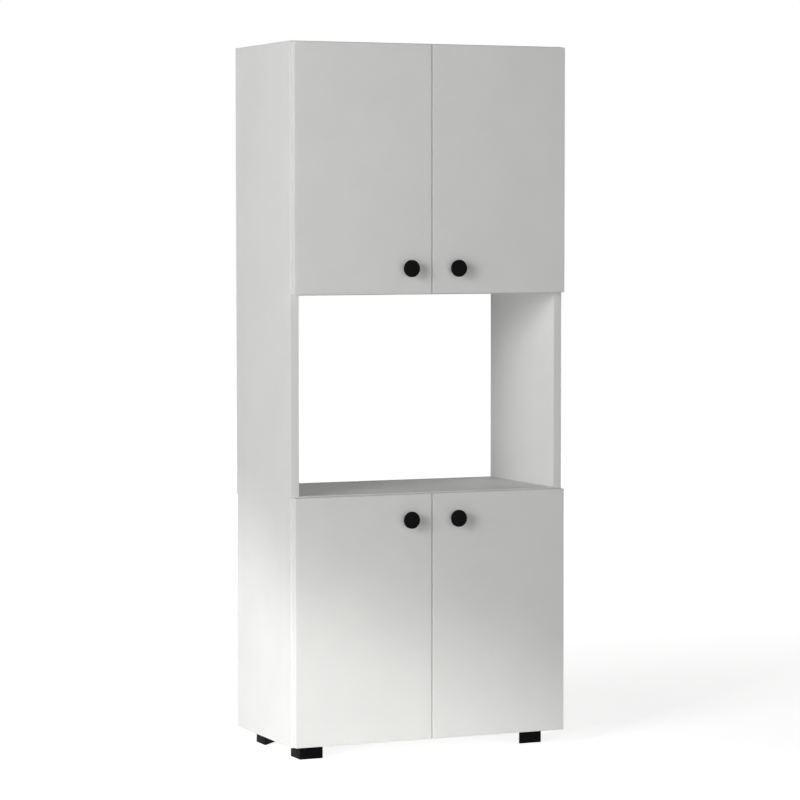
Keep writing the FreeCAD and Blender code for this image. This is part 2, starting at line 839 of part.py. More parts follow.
def with_mirror(solids):
    return solids + [mirrored(solid) for solid in solids]


def save_boards():
    side = side_panel()
    save("side_panel_right", [side])
    save("side_panel_left", [mirrored(side)])
    for name, low, cam_face in lying_boards:
        save(name, [lying_board(low, cam_face)])
    for name, low, high in cupboards:
        save("back_panel_" + name, [back_panel(low, high)])
        save("shelf_" + name, [shelf(low)])


def save_fittings():
    save("dowels", both_ends(dowel, dowel_from_edge))
    save("cam_locks", both_ends(cam_lock, cam_from_edge))
    save("cam_bolts", both_ends(cam_bolt, cam_from_edge))
    save("cam_covers", both_ends(cam_cover, cam_from_edge))
    save("shelf_pins", shelf_pins())
    save("door_buffers", door_buffers())


def save_feet():
    corners = ["front_right", "front_left", "rear_right", "rear_left"]
    for name, shape in zip(corners, each_corner([foot()])):
        save("foot_" + name, [shape])
    save("foot_screws", each_corner(foot_screws()))


def save_arms():
    """The hinge pieces that stay on the cabinet."""
    makers = {
        "hinge_plates": hinge_plate,
        "hinge_plate_screws": plate_screws,
        "hinge_arms": hinge_arm,
        "hinge_arm_screws": arm_screw,
        "hinge_arm_pins": arm_pins,
    }
    for name, make in makers.items():
        save(name, with_mirror(at_heights(make, hinge_heights())))


def save_doors():
    """Each door with its knob and the hinge pieces that move with it."""
    for name, low, high, knob_z in door_rows:
        heights = door_hinge_heights(low, high)
        pieces = {
            "door": [door(low, high, knob_z)],
            "knob": [knob(knob_z)],
            "knob_screw": [knob_screw(knob_z)],
            "hinge_cups": at_heights(hinge_cup, heights),
            "cup_pins": at_heights(cup_pins, heights),
            "cup_screws": at_heights(cup_screws, heights),
            "outer_links": at_heights(outer_links, heights),
            "inner_links": at_heights(inner_link, heights),
        }
        for piece, solids in pieces.items():
            save(piece + "_" + name + "_left", solids)
            save(piece + "_" + name + "_right", [mirrored(solid) for solid in solids])


os.makedirs("parts", exist_ok=True)
save_boards()
save_fittings()
save_feet()
save_arms()
save_doors()
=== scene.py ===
import math

import bmesh
import bpy
from mathutils import Matrix, Vector


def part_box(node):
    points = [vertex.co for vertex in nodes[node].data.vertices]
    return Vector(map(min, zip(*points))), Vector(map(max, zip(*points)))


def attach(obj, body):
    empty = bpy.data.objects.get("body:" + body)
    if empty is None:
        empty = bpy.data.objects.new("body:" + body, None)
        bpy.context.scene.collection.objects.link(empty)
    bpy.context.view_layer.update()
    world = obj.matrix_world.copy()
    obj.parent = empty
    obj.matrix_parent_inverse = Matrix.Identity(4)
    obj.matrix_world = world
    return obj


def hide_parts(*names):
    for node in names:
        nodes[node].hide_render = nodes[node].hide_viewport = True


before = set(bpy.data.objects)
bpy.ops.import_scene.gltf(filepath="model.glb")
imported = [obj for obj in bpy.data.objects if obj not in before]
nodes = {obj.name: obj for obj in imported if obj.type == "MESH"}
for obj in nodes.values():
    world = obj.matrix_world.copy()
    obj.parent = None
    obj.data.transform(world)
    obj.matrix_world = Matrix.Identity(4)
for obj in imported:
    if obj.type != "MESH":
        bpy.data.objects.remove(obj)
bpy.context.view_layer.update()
scene = bpy.context.scene
mm = 0.001
print("frame loaded:", len(nodes), "nodes")

carcassBody = "carcass"
doorNames = ["lower_left", "lower_right", "upper_left", "upper_right"]
lyingBoards = ["top_panel", "niche_ceiling_panel", "niche_floor_panel", "bottom_panel"]
shelfBoards = ["shelf_upper", "shelf_lower"]
sideBoards = ["side_panel_left", "side_panel_right"]


# Small helpers for meshes

def boxOf(node):
    low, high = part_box(node)
    return Vector(low), Vector(high)


def looseParts(node):
    # corners of each separate solid of a CAD node, read from a copy of its mesh
    bm = bmesh.new()
    bm.from_mesh(nodes[node].data)
    bmesh.ops.remove_doubles(bm, verts=bm.verts, dist=0.002 * mm)
    seen = set()
    parts = []
    for start in bm.verts:
        if start in seen:
            continue
        seen.add(start)
        waiting = [start]
        low = start.co.copy()
        high = start.co.copy()
        while waiting:
            vert = waiting.pop()
            for axis in range(3):
                low[axis] = min(low[axis], vert.co[axis])
                high[axis] = max(high[axis], vert.co[axis])
            for edge in vert.link_edges:
                other = edge.other_vert(vert)
                if other not in seen:
                    seen.add(other)
                    waiting.append(other)
        parts.append((low, high))
    bm.free()
    return parts


def arcPoints(centre, radius, fromAngle, toAngle, steps):
    # points on an arc, angles in degrees
    points = []
    for step in range(steps + 1):
        angle = math.radians(fromAngle + (toAngle - fromAngle) * step / steps)
        points.append((centre[0] + radius * math.cos(angle), centre[1] + radius * math.sin(angle)))
    return points


def turnedMesh(profile, segments):
    # a profile of (radius, height) in mm turned round the local Z axis
    bm = bmesh.new()
    rings = []
    for radius, height in profile:
        if radius < 1e-6:
            rings.append([bm.verts.new((0, 0, height * mm))])
            continue
        ring = []
        for step in range(segments):
            angle = 2 * math.pi * step / segments
            x = radius * mm * math.cos(angle)
            y = radius * mm * math.sin(angle)
            ring.append(bm.verts.new((x, y, height * mm)))
        rings.append(ring)
    for lower, upper in zip(rings, rings[1:]):
        for step in range(segments):
            after = (step + 1) % segments
            if len(lower) == 1 and len(upper) == 1:
                continue
            if len(lower) == 1:
                bm.faces.new((lower[0], upper[after], upper[step]))
            elif len(upper) == 1:
                bm.faces.new((lower[step], lower[after], upper[0]))
            else:
                bm.faces.new((lower[step], lower[after], upper[after], upper[step]))
    bmesh.ops.recalc_face_normals(bm, faces=bm.faces)
    return bm


def finishedObject(name, bm, material, creaseAngle=35):
    mesh = bpy.data.meshes.new(name)
    bm.to_mesh(mesh)
    bm.free()
    piece = bpy.data.objects.new(name, mesh)
    scene.collection.objects.link(piece)
    mesh.materials.append(material)
    for face in mesh.polygons:
        face.use_smooth = True
    mesh.set_sharp_from_angle(angle=math.radians(creaseAngle))
    return piece


def withModifiers(piece):
    # bakes a piece's modifiers into its mesh
    depsgraph = bpy.context.evaluated_depsgraph_get()
    mesh = bpy.data.meshes.new_from_object(piece.evaluated_get(depsgraph))
    old = piece.data
    piece.modifiers.clear()
    piece.data = mesh
    bpy.data.meshes.remove(old)
    return piece


def cutAway(piece, cutters):
    for cutter in cutters:
        cut = piece.modifiers.new("cut", "BOOLEAN")
        cut.operation = "DIFFERENCE"
        cut.solver = "EXACT"
        cut.object = cutter
    withModifiers(piece)
    for cutter in cutters:
        mesh = cutter.data
        bpy.data.objects.remove(cutter)
        bpy.data.meshes.remove(mesh)
    return piece


def towards(direction):
    # rotation that turns local Z to a direction
    return Vector(direction).to_track_quat("Z", "Y").to_matrix().to_4x4()


def standIn(piece, body, replaced):
    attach(piece, body)
    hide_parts(replaced)
    return piece


# Shader groups shared by the finishes

def newGroup(name, inputs, outputs):
    tree = bpy.data.node_groups.new(name, "ShaderNodeTree")
    for label, kind, value in inputs:
        socket = tree.interface.new_socket(name=label, in_out="INPUT", socket_type=kind)
        socket.default_value = value
    for label, kind in outputs:
        tree.interface.new_socket(name=label, in_out="OUTPUT", socket_type=kind)
    tree.nodes.new("NodeGroupInput")
    tree.nodes.new("NodeGroupOutput")
    return tree


def addNode(tree, kind, **settings):
    node = tree.nodes.new(kind)
    for label, value in settings.items():
        setattr(node, label, value)
    return node


def mathNode(tree, operation, first, second=None, third=None, clamp=False):
    node = addNode(tree, "ShaderNodeMath", operation=operation, use_clamp=clamp)
    for socket, value in zip(node.inputs, (first, second, third)):
        if value is None:
            continue
        if isinstance(value, (int, float)):
            socket.default_value = value
        else:
            tree.links.new(value, socket)
    return node.outputs[0]


def mapped(tree, value, fromLow, fromHigh, toLow, toHigh):
    node = addNode(tree, "ShaderNodeMapRange", clamp=True)
    tree.links.new(value, node.inputs["Value"])
    node.inputs["From Min"].default_value = fromLow
    node.inputs["From Max"].default_value = fromHigh
    node.inputs["To Min"].default_value = toLow
    node.inputs["To Max"].default_value = toHigh
    return node.outputs["Result"]


def spread(tree, noise, low, high, reach=0.2):
    # a noise seldom leaves 0.5 by more than the reach, and that part is stretched from low to high
    return mapped(tree, noise, 0.5 - reach, 0.5 + reach, low, high)


def noiseNode(tree, vector, scale, detail=2.0, roughness=0.5):
    node = addNode(tree, "ShaderNodeTexNoise")
    tree.links.new(vector, node.inputs["Vector"])
    if isinstance(scale, (int, float)):
        node.inputs["Scale"].default_value = scale
    else:
        tree.links.new(scale, node.inputs["Scale"])
    node.inputs["Detail"].default_value = detail
    node.inputs["Roughness"].default_value = roughness
    return node.outputs[0]


def groupEnds(tree):
    return tree.nodes["Group Input"], tree.nodes["Group Output"]


def objectPlace(tree):
    return addNode(tree, "ShaderNodeTexCoord").outputs["Object"]


def pressedLaminateGroup():
    # fine pressed pores of a melamine face, with slow changes in tone and gloss
    tree = newGroup("pressedLaminate", [
        ("Pores Per Metre", "NodeSocketFloat", 1400.0),
        ("Cloud Per Metre", "NodeSocketFloat", 7.0),
    ], [("Height", "NodeSocketFloat"), ("Cloud", "NodeSocketFloat"), ("Gloss", "NodeSocketFloat")])
    start, end = groupEnds(tree)
    spot = objectPlace(tree)
    pores = noiseNode(tree, spot, start.outputs["Pores Per Metre"], 2.0, 0.55)
    cells = addNode(tree, "ShaderNodeTexVoronoi", feature="SMOOTH_F1")
    tree.links.new(spot, cells.inputs["Vector"])
    wider = mathNode(tree, "MULTIPLY", start.outputs["Pores Per Metre"], 0.45)
    tree.links.new(wider, cells.inputs["Scale"])
    height = mathNode(tree, "MULTIPLY_ADD", cells.outputs["Distance"], 0.6, pores)
    cloud = noiseNode(tree, spot, start.outputs["Cloud Per Metre"], 3.0, 0.5)
    finer = mathNode(tree, "MULTIPLY", start.outputs["Cloud Per Metre"], 4.0)
    gloss = noiseNode(tree, spot, finer, 4.0, 0.6)
    tree.links.new(height, end.inputs["Height"])
    tree.links.new(cloud, end.inputs["Cloud"])
    tree.links.new(gloss, end.inputs["Gloss"])
    return tree


def edgeBandGroup():
    # finds the edge banding of a board from the board's own corners
    tree = newGroup("edgeBand", [
        ("Low Corner", "NodeSocketVector", (0.0, 0.0, 0.0)),
        ("High Corner", "NodeSocketVector", (1.0, 1.0, 1.0)),
        ("Bare Sides", "NodeSocketVector", (0.0, 0.0, 0.0)),
        ("Band", "NodeSocketFloat", 0.8 * mm),
        ("Line", "NodeSocketFloat", 0.10 * mm),
    ], [("Seam", "NodeSocketFloat"), ("Banded", "NodeSocketFloat")])
    start, end = groupEnds(tree)
    spot = objectPlace(tree)
    fromLow = addNode(tree, "ShaderNodeVectorMath", operation="SUBTRACT")
    tree.links.new(spot, fromLow.inputs[0])
    tree.links.new(start.outputs["Low Corner"], fromLow.inputs[1])
    fromHigh = addNode(tree, "ShaderNodeVectorMath", operation="SUBTRACT")
    tree.links.new(start.outputs["High Corner"], fromHigh.inputs[0])
    tree.links.new(spot, fromHigh.inputs[1])
    nearer = addNode(tree, "ShaderNodeVectorMath", operation="MINIMUM")
    tree.links.new(fromLow.outputs[0], nearer.inputs[0])
    tree.links.new(fromHigh.outputs[0], nearer.inputs[1])
    banded = addNode(tree, "ShaderNodeVectorMath", operation="ADD")
    tree.links.new(nearer.outputs[0], banded.inputs[0])
    tree.links.new(start.outputs["Bare Sides"], banded.inputs[1])
    split = addNode(tree, "ShaderNodeSeparateXYZ")
    tree.links.new(banded.outputs[0], split.inputs[0])
    edge = mathNode(tree, "MINIMUM", split.outputs["X"], split.outputs["Y"])
    edge = mathNode(tree, "MINIMUM", edge, split.outputs["Z"])
    offLine = mathNode(tree, "ABSOLUTE", mathNode(tree, "SUBTRACT", edge, start.outputs["Band"]))
    ratio = mathNode(tree, "DIVIDE", offLine, start.outputs["Line"])
    seam = mathNode(tree, "SUBTRACT", 1.0, ratio, clamp=True)
    onBand = mathNode(tree, "LESS_THAN", edge, start.outputs["Band"])
    tree.links.new(seam, end.inputs["Seam"])
    tree.links.new(onBand, end.inputs["Banded"])
    return tree


def handlingGroup():
    # soft finger marks and dust, and a few fine scratches
    tree = newGroup("handlingMarks", [
        ("Marks Per Metre", "NodeSocketFloat", 18.0),
        ("Scratches Per Metre", "NodeSocketFloat", 60.0),
    ], [("Marks", "NodeSocketFloat"), ("Scratches", "NodeSocketFloat")])
    start, end = groupEnds(tree)
    spot = objectPlace(tree)
    broad = noiseNode(tree, spot, start.outputs["Marks Per Metre"], 5.0, 0.65)
    marks = mapped(tree, broad, 0.48, 0.72, 0.0, 1.0)
    stretch = addNode(tree, "ShaderNodeMapping")
    tree.links.new(spot, stretch.inputs["Vector"])
    stretch.inputs["Rotation"].default_value = (0.4, 0.9, 0.3)
    stretch.inputs["Scale"].default_value = (1.0, 1.0, 14.0)
    lines = noiseNode(tree, stretch.outputs[0], start.outputs["Scratches Per Metre"], 3.0, 0.7)
    scratches = mapped(tree, lines, 0.66, 0.74, 0.0, 1.0)
    tree.links.new(marks, end.inputs["Marks"])
    tree.links.new(scratches, end.inputs["Scratches"])
    return tree


def mouldedGrainGroup():
    # the fine eroded grain of a plastic mould or a powder finish
    tree = newGroup("mouldedGrain", [
        ("Grain Per Metre", "NodeSocketFloat", 2600.0),
    ], [("Height", "NodeSocketFloat"), ("Dull", "NodeSocketFloat")])
    start, end = groupEnds(tree)
    spot = objectPlace(tree)
    cells = addNode(tree, "ShaderNodeTexVoronoi", feature="F1")
    tree.links.new(spot, cells.inputs["Vector"])
    tree.links.new(start.outputs["Grain Per Metre"], cells.inputs["Scale"])
    wider = mathNode(tree, "MULTIPLY", start.outputs["Grain Per Metre"], 0.6)
    fine = noiseNode(tree, spot, wider, 3.0, 0.6)
    height = mathNode(tree, "MULTIPLY_ADD", cells.outputs["Distance"], 0.5, fine)
    broad = mathNode(tree, "MULTIPLY", start.outputs["Grain Per Metre"], 0.02)
    dull = noiseNode(tree, spot, broad, 4.0, 0.6)
    tree.links.new(height, end.inputs["Height"])
    tree.links.new(dull, end.inputs["Dull"])
    return tree


def drawnMetalGroup():
    # lines left in sheet metal by rolling, or round a turned face, and specks in the plating
    tree = newGroup("drawnMetal", [
        ("Stretch", "NodeSocketVector", (1.0, 1.0, 0.04)),
        ("Lines Per Metre", "NodeSocketFloat", 3000.0),
    ], [("Height", "NodeSocketFloat"), ("Tone", "NodeSocketFloat"), ("Specks", "NodeSocketFloat")])
    start, end = groupEnds(tree)
    spot = objectPlace(tree)
    drawn = addNode(tree, "ShaderNodeVectorMath", operation="MULTIPLY")
    tree.links.new(spot, drawn.inputs[0])
    tree.links.new(start.outputs["Stretch"], drawn.inputs[1])
    lines = noiseNode(tree, drawn.outputs[0], start.outputs["Lines Per Metre"], 3.0, 0.6)
    tone = noiseNode(tree, spot, 130.0, 4.0, 0.6)
    specks = mapped(tree, noiseNode(tree, spot, 900.0, 2.0, 0.5), 0.62, 0.72, 0.0, 1.0)
    tree.links.new(lines, end.inputs["Height"])
    tree.links.new(tone, end.inputs["Tone"])
    tree.links.new(specks, end.inputs["Specks"])
    return tree


def woodFibreGroup():
    # long fibres for dowels, and short felted fibres for pressed board
    tree = newGroup("woodFibre", [
        ("Stretch", "NodeSocketVector", (0.08, 1.0, 1.0)),
        ("Fibres Per Metre", "NodeSocketFloat", 1500.0),
    ], [("Height", "NodeSocketFloat"), ("Tone", "NodeSocketFloat")])
    start, end = groupEnds(tree)
    spot = objectPlace(tree)
    along = addNode(tree, "ShaderNodeVectorMath", operation="MULTIPLY")
    tree.links.new(spot, along.inputs[0])
    tree.links.new(start.outputs["Stretch"], along.inputs[1])
    fibres = noiseNode(tree, along.outputs[0], start.outputs["Fibres Per Metre"], 5.0, 0.65)
    wider = mathNode(tree, "MULTIPLY", start.outputs["Fibres Per Metre"], 0.12)
    broad = noiseNode(tree, along.outputs[0], wider, 3.0, 0.5)
    tone = mathNode(tree, "MULTIPLY_ADD", fibres, 0.5, mathNode(tree, "MULTIPLY", broad, 0.5))
    tree.links.new(fibres, end.inputs["Height"])
    tree.links.new(tone, end.inputs["Tone"])
    return tree


groups = {
    "laminate": pressedLaminateGroup(),
    "edgeBand": edgeBandGroup(),
    "handling": handlingGroup(),
    "moulded": mouldedGrainGroup(),
    "metal": drawnMetalGroup(),
    "fibre": woodFibreGroup(),
}
print("shader groups ready:", len(groups))


# Materials

toneReach = 0.15                # how far a tone's noise usually leaves its middle


def newMaterial(name):
    material = bpy.data.materials.new(name)
    material.use_nodes = True
    tree = material.node_tree
    shader = tree.nodes["Principled BSDF"]
    return material, tree, shader


def place(tree, groupName, **values):
    node = addNode(tree, "ShaderNodeGroup", node_tree=groups[groupName])
    for label, value in values.items():
        spaced = label[0].upper() + "".join(" " + c if c.isupper() else c for c in label[1:])
        node.inputs[spaced].default_value = value
    return node


def blendColour(tree, factor, first, second):
    node = addNode(tree, "ShaderNodeMix", data_type="RGBA")
    tree.links.new(factor, node.inputs["Factor"])
    for socket, value in ((node.inputs["A"], first), (node.inputs["B"], second)):
        if isinstance(value, tuple):
            socket.default_value = (*value, 1.0)
        else:
            tree.links.new(value, socket)
    return node.outputs["Result"]


def bumped(tree, shader, height, depth, under=None):
    # depth in mm; under is the normal of a bump that this one lies on
    bump = addNode(tree, "ShaderNodeBump")
    bump.inputs["Distance"].default_value = depth * mm
    bump.inputs["Strength"].default_value = 1.0
    tree.links.new(height, bump.inputs["Height"])
    if under is not None:
        tree.links.new(under, bump.inputs["Normal"])
    tree.links.new(bump.outputs["Normal"], shader.inputs["Normal"])
    return bump.outputs["Normal"]


boardFinish = {
    "face": (0.835, 0.832, 0.822),        # warm white of the pressed face
    "faceShade": (0.812, 0.811, 0.803),
    "band": (0.834, 0.831, 0.820),        # colour of the edge banding
    "seam": (0.40, 0.33, 0.26),           # glue line between face and banding
    "dust": (0.62, 0.60, 0.56),
    "dustShare": 0.05,                    # how much of the dust's colour a finger mark takes
    "seamShare": 0.75,
    "roughness": (0.48, 0.60),
    "markGloss": 0.05,                    # finger marks and banding are a little smoother
    "bandGloss": 0.06,
    "shine": 0.12,                        # specular level of the matt face
    "bandThickness": 0.8,                 # mm
    "poreDepth": 0.004,
    "seamDepth": 0.02,
}


def boardMaterial(node, bareAxis):
    # bareAxis is the board's thin direction, whose two faces carry no banding
    low, high = boxOf(node)
    kit = boardFinish
    material, tree, shader = newMaterial("whiteBoard_" + node)
    laminate = place(tree, "laminate")
    marks = place(tree, "handling")
    bare = [0.0, 0.0, 0.0]
    bare[bareAxis] = 1.0
    edge = place(tree, "edgeBand", lowCorner=low, highCorner=high, bareSides=bare,
                 band=kit["bandThickness"] * mm)
    cloud = spread(tree, laminate.outputs["Cloud"], 0.0, 1.0, toneReach)
    face = blendColour(tree, cloud, kit["face"], kit["faceShade"])
    film = mathNode(tree, "MULTIPLY", marks.outputs["Marks"], kit["dustShare"])
    dusty = blendColour(tree, film, face, kit["dust"])
    banded = blendColour(tree, edge.outputs["Banded"], dusty, kit["band"])
    glue = mathNode(tree, "MULTIPLY", edge.outputs["Seam"], kit["seamShare"])
    seam = blendColour(tree, glue, banded, kit["seam"])
    tree.links.new(seam, shader.inputs["Base Color"])
    rough = spread(tree, laminate.outputs["Gloss"], *kit["roughness"])
    rough = mathNode(tree, "MULTIPLY_ADD", marks.outputs["Marks"], -kit["markGloss"], rough)
    rough = mathNode(tree, "MULTIPLY_ADD", edge.outputs["Banded"], -kit["bandGloss"], rough)
    tree.links.new(rough, shader.inputs["Roughness"])
    shader.inputs["Specular IOR Level"].default_value = kit["shine"]
    pores = bumped(tree, shader, laminate.outputs["Height"], kit["poreDepth"])
    groove = mathNode(tree, "SUBTRACT", 1.0, edge.outputs["Seam"])
    bumped(tree, shader, groove, kit["seamDepth"], under=pores)
    return material


backFinish = {
    "face": (0.80, 0.80, 0.785),
    "bareFront": (0.36, 0.25, 0.155),     # bare pressed board on the back
    "bareDark": (0.25, 0.165, 0.10),
    "roughness": (0.42, 0.55),
    "bareDull": 0.35,                     # how much rougher the bare side is
    "fibreDepth": 0.12,                   # mm
    "poreShare": 0.15,                    # height of the pores against the fibres
}


def backBoardMaterial(node):
    low, high = boxOf(node)
    middle = (low.y + high.y) / 2
    kit = backFinish
    material, tree, shader = newMaterial("backBoard_" + node)
    fibre = place(tree, "fibre", stretch=(1.0, 1.0, 0.6), fibresPerMetre=700.0)
    laminate = place(tree, "laminate", poresPerMetre=900.0)
    split = addNode(tree, "ShaderNodeSeparateXYZ")
    tree.links.new(objectPlace(tree), split.inputs[0])
    behind = mathNode(tree, "GREATER_THAN", split.outputs["Y"], middle)
    felted = spread(tree, fibre.outputs["Tone"], 0.0, 1.0, toneReach)
    bare = blendColour(tree, felted, kit["bareDark"], kit["bareFront"])
    colour = blendColour(tree, behind, kit["face"], bare)
    tree.links.new(colour, shader.inputs["Base Color"])
    facing = spread(tree, laminate.outputs["Gloss"], *kit["roughness"])
    rough = mathNode(tree, "MULTIPLY_ADD", behind, kit["bareDull"], facing)
    tree.links.new(rough, shader.inputs["Roughness"])
    height = mathNode(tree, "MULTIPLY", behind, fibre.outputs["Height"])
    height = mathNode(tree, "MULTIPLY_ADD", laminate.outputs["Height"], kit["poreShare"], height)
    bumped(tree, shader, height, kit["fibreDepth"])
    return material


blackFinish = {
    "knobColour": (0.0025, 0.0025, 0.0028),
    "knobWorn": (0.008, 0.008, 0.008),
    "wornShare": 0.25,
    "footColour": (0.0016, 0.0016, 0.0018),
    "footDust": (0.02, 0.02, 0.019),
    "knobRoughness": (0.38, 0.50),
    "footRoughness": (0.50, 0.66),
    "markGloss": 0.05,
    "shine": 0.05,
    "knobGrain": 0.02,                    # mm deep
    "footGrain": 0.03,
}


def blackKnobMaterial():
    # fine powder finish over a turned metal knob
    kit = blackFinish
    material, tree, shader = newMaterial("blackKnob")
    grain = place(tree, "moulded", grainPerMetre=4200.0)
    marks = place(tree, "handling", marksPerMetre=90.0, scratchesPerMetre=400.0)
    worn = mathNode(tree, "MULTIPLY", marks.outputs["Marks"], kit["wornShare"])
    colour = blendColour(tree, worn, kit["knobColour"], kit["knobWorn"])
    tree.links.new(colour, shader.inputs["Base Color"])
    rough = spread(tree, grain.outputs["Dull"], *kit["knobRoughness"])
    rough = mathNode(tree, "MULTIPLY_ADD", marks.outputs["Marks"], -kit["markGloss"], rough)
    tree.links.new(rough, shader.inputs["Roughness"])
    shader.inputs["Specular IOR Level"].default_value = kit["shine"]
    bumped(tree, shader, grain.outputs["Height"], kit["knobGrain"])
    return material


def footPlasticMaterial():
    kit = blackFinish
    material, tree, shader = newMaterial("blackFootPlastic")
    grain = place(tree, "moulded", grainPerMetre=2200.0)
    marks = place(tree, "handling", marksPerMetre=60.0, scratchesPerMetre=220.0)
    scuffs = mathNode(tree, "MULTIPLY", marks.outputs["Scratches"], 0.5)
    dusty = mathNode(tree, "MULTIPLY_ADD", marks.outputs["Marks"], 0.15, scuffs)
    colour = blendColour(tree, dusty, kit["footColour"], kit["footDust"])
    tree.links.new(colour, shader.inputs["Base Color"])
    rough = spread(tree, grain.outputs["Dull"], *kit["footRoughness"])
    tree.links.new(rough, shader.inputs["Roughness"])
    shader.inputs["Specular IOR Level"].default_value = kit["shine"]
    bumped(tree, shader, grain.outputs["Height"], kit["footGrain"])
    return material


def metalMaterial(kit):
    material, tree, shader = newMaterial(kit["name"])
    metal = place(tree, "metal", stretch=kit["stretch"])
    marks = place(tree, "handling", marksPerMetre=70.0, scratchesPerMetre=320.0)
    tone = spread(tree, metal.outputs["Tone"], 0.0, 1.0, toneReach)
    colour = blendColour(tree, tone, kit["light"], kit["dark"])
    speck = mathNode(tree, "MULTIPLY", metal.outputs["Specks"], 0.35)
    colour = blendColour(tree, speck, colour, tuple(0.6 * part for part in kit["dark"]))
    tree.links.new(colour, shader.inputs["Base Color"])
    shader.inputs["Metallic"].default_value = 1.0
    rough = spread(tree, metal.outputs["Tone"], *kit["roughness"])
    rough = mathNode(tree, "MULTIPLY_ADD", marks.outputs["Marks"], 0.08, rough)
    tree.links.new(rough, shader.inputs["Roughness"])
    lines = bumped(tree, shader, metal.outputs["Height"], kit["depth"])
    bumped(tree, shader, marks.outputs["Scratches"], 0.006, under=lines)
    return material


def beechMaterial():
    material, tree, shader = newMaterial("beechDowel")
    fibre = place(tree, "fibre", stretch=(0.06, 1.0, 1.0), fibresPerMetre=2600.0)
    tone = spread(tree, fibre.outputs["Tone"], 0.0, 1.0, toneReach)
    colour = blendColour(tree, tone, (0.42, 0.25, 0.12), (0.62, 0.42, 0.24))
    tree.links.new(colour, shader.inputs["Base Color"])
    rough = spread(tree, fibre.outputs["Height"], 0.55, 0.75)
    tree.links.new(rough, shader.inputs["Roughness"])
    bumped(tree, shader, fibre.outputs["Height"], 0.06)
    return material


def whitePlasticMaterial():
    material, tree, shader = newMaterial("whiteCoverPlastic")
    grain = place(tree, "moulded", grainPerMetre=1800.0)
    dull = spread(tree, grain.outputs["Dull"], 0.0, 1.0)
    colour = blendColour(tree, dull, (0.80, 0.80, 0.79), (0.76, 0.76, 0.74))
    tree.links.new(colour, shader.inputs["Base Color"])
    rough = spread(tree, grain.outputs["Dull"], 0.34, 0.46)
    tree.links.new(rough, shader.inputs["Roughness"])
    bumped(tree, shader, grain.outputs["Height"], 0.01)
    return material


def clearPadMaterial():
    # soft clear plastic of the bumpers
    material, tree, shader = newMaterial("clearPad")
    grain = place(tree, "moulded", grainPerMetre=700.0)
    tint = spread(tree, grain.outputs["Dull"], 0.0, 1.0)
    colour = blendColour(tree, tint, (0.93, 0.94, 0.93), (0.88, 0.89, 0.87))
    tree.links.new(colour, shader.inputs["Base Color"])
    rough = spread(tree, grain.outputs["Dull"], 0.10, 0.22)
    tree.links.new(rough, shader.inputs["Roughness"])
    shader.inputs["Transmission Weight"].default_value = 0.85
    shader.inputs["IOR"].default_value = 1.49
    bumped(tree, shader, grain.outputs["Height"], 0.01)
    return material


metalKits = {
    "nickel_steel": {"name": "nickelSteel", "light": (0.70, 0.68, 0.64), "dark": (0.60, 0.58, 0.54),
                     "roughness": (0.20, 0.32), "stretch": (1.0, 0.05, 1.0), "depth": 0.008},
    "pin_steel": {"name": "pinSteel", "light": (0.62, 0.61, 0.59), "dark": (0.52, 0.51, 0.49),
                  "roughness": (0.24, 0.36), "stretch": (1.0, 1.0, 0.08), "depth": 0.008},
    "zinc_screw": {"name": "zincScrew", "light": (0.66, 0.66, 0.65), "dark": (0.54, 0.55, 0.57),
                   "roughness": (0.28, 0.42), "stretch": (1.0, 1.0, 1.0), "depth": 0.008},
    "cast_zinc": {"name": "castZinc", "light": (0.52, 0.52, 0.52), "dark": (0.42, 0.42, 0.43),
                  "roughness": (0.42, 0.58), "stretch": (1.0, 1.0, 1.0), "depth": 0.03},
}

finishes = {
    "foot_plastic": footPlasticMaterial(),
    "black_knob": blackKnobMaterial(),
    "beech_dowel": beechMaterial(),
    "white_plastic": whitePlasticMaterial(),
    "clear_pad": clearPadMaterial(),
}
for slotName, kit in metalKits.items():
    finishes[slotName] = metalMaterial(kit)


def dressBoards():
    thinAxis = {"side": 0, "door": 1, "lying": 2}
    for node in sideBoards:
        nodes[node].material_slots[0].material = boardMaterial(node, thinAxis["side"])
    for name in doorNames:
        node = "door_" + name
        nodes[node].material_slots[0].material = boardMaterial(node, thinAxis["door"])
    for node in lyingBoards + shelfBoards:
        nodes[node].material_slots[0].material = boardMaterial(node, thinAxis["lying"])
    for node in ("back_panel_upper", "back_panel_lower"):
        nodes[node].material_slots[0].material = backBoardMaterial(node)


def dressFittings():
    for piece in nodes.values():
        for materialSlot in piece.material_slots:
            known = materialSlot.name
            if known in finishes:
                materialSlot.material = finishes[known]


dressBoards()
dressFittings()
print("materials placed:", len(bpy.data.materials))


# Knobs, turned from one profile

knobKit = {
    "radius": 17.25,         # mm
    "projection": 20.0,
    "rim": 6.5,              # thickness of the disc
    "rimRound": 1.6,
    "crown": 0.7,            # rise of the face
    "neck": 7.0,
    "footRadius": 9.0,
    "footHeight": 2.5,
    "footRound": 0.5,
    "screwBore": 2.0,
    "boreDepth": 11.0,
    "boreSoft": 0.3,         # bevel at the bore's mouth
    "turningStep": 0.9,      # spacing of the faint turned rings on the face
    "turningDepth": 0.012,
    "segments": 96,
}


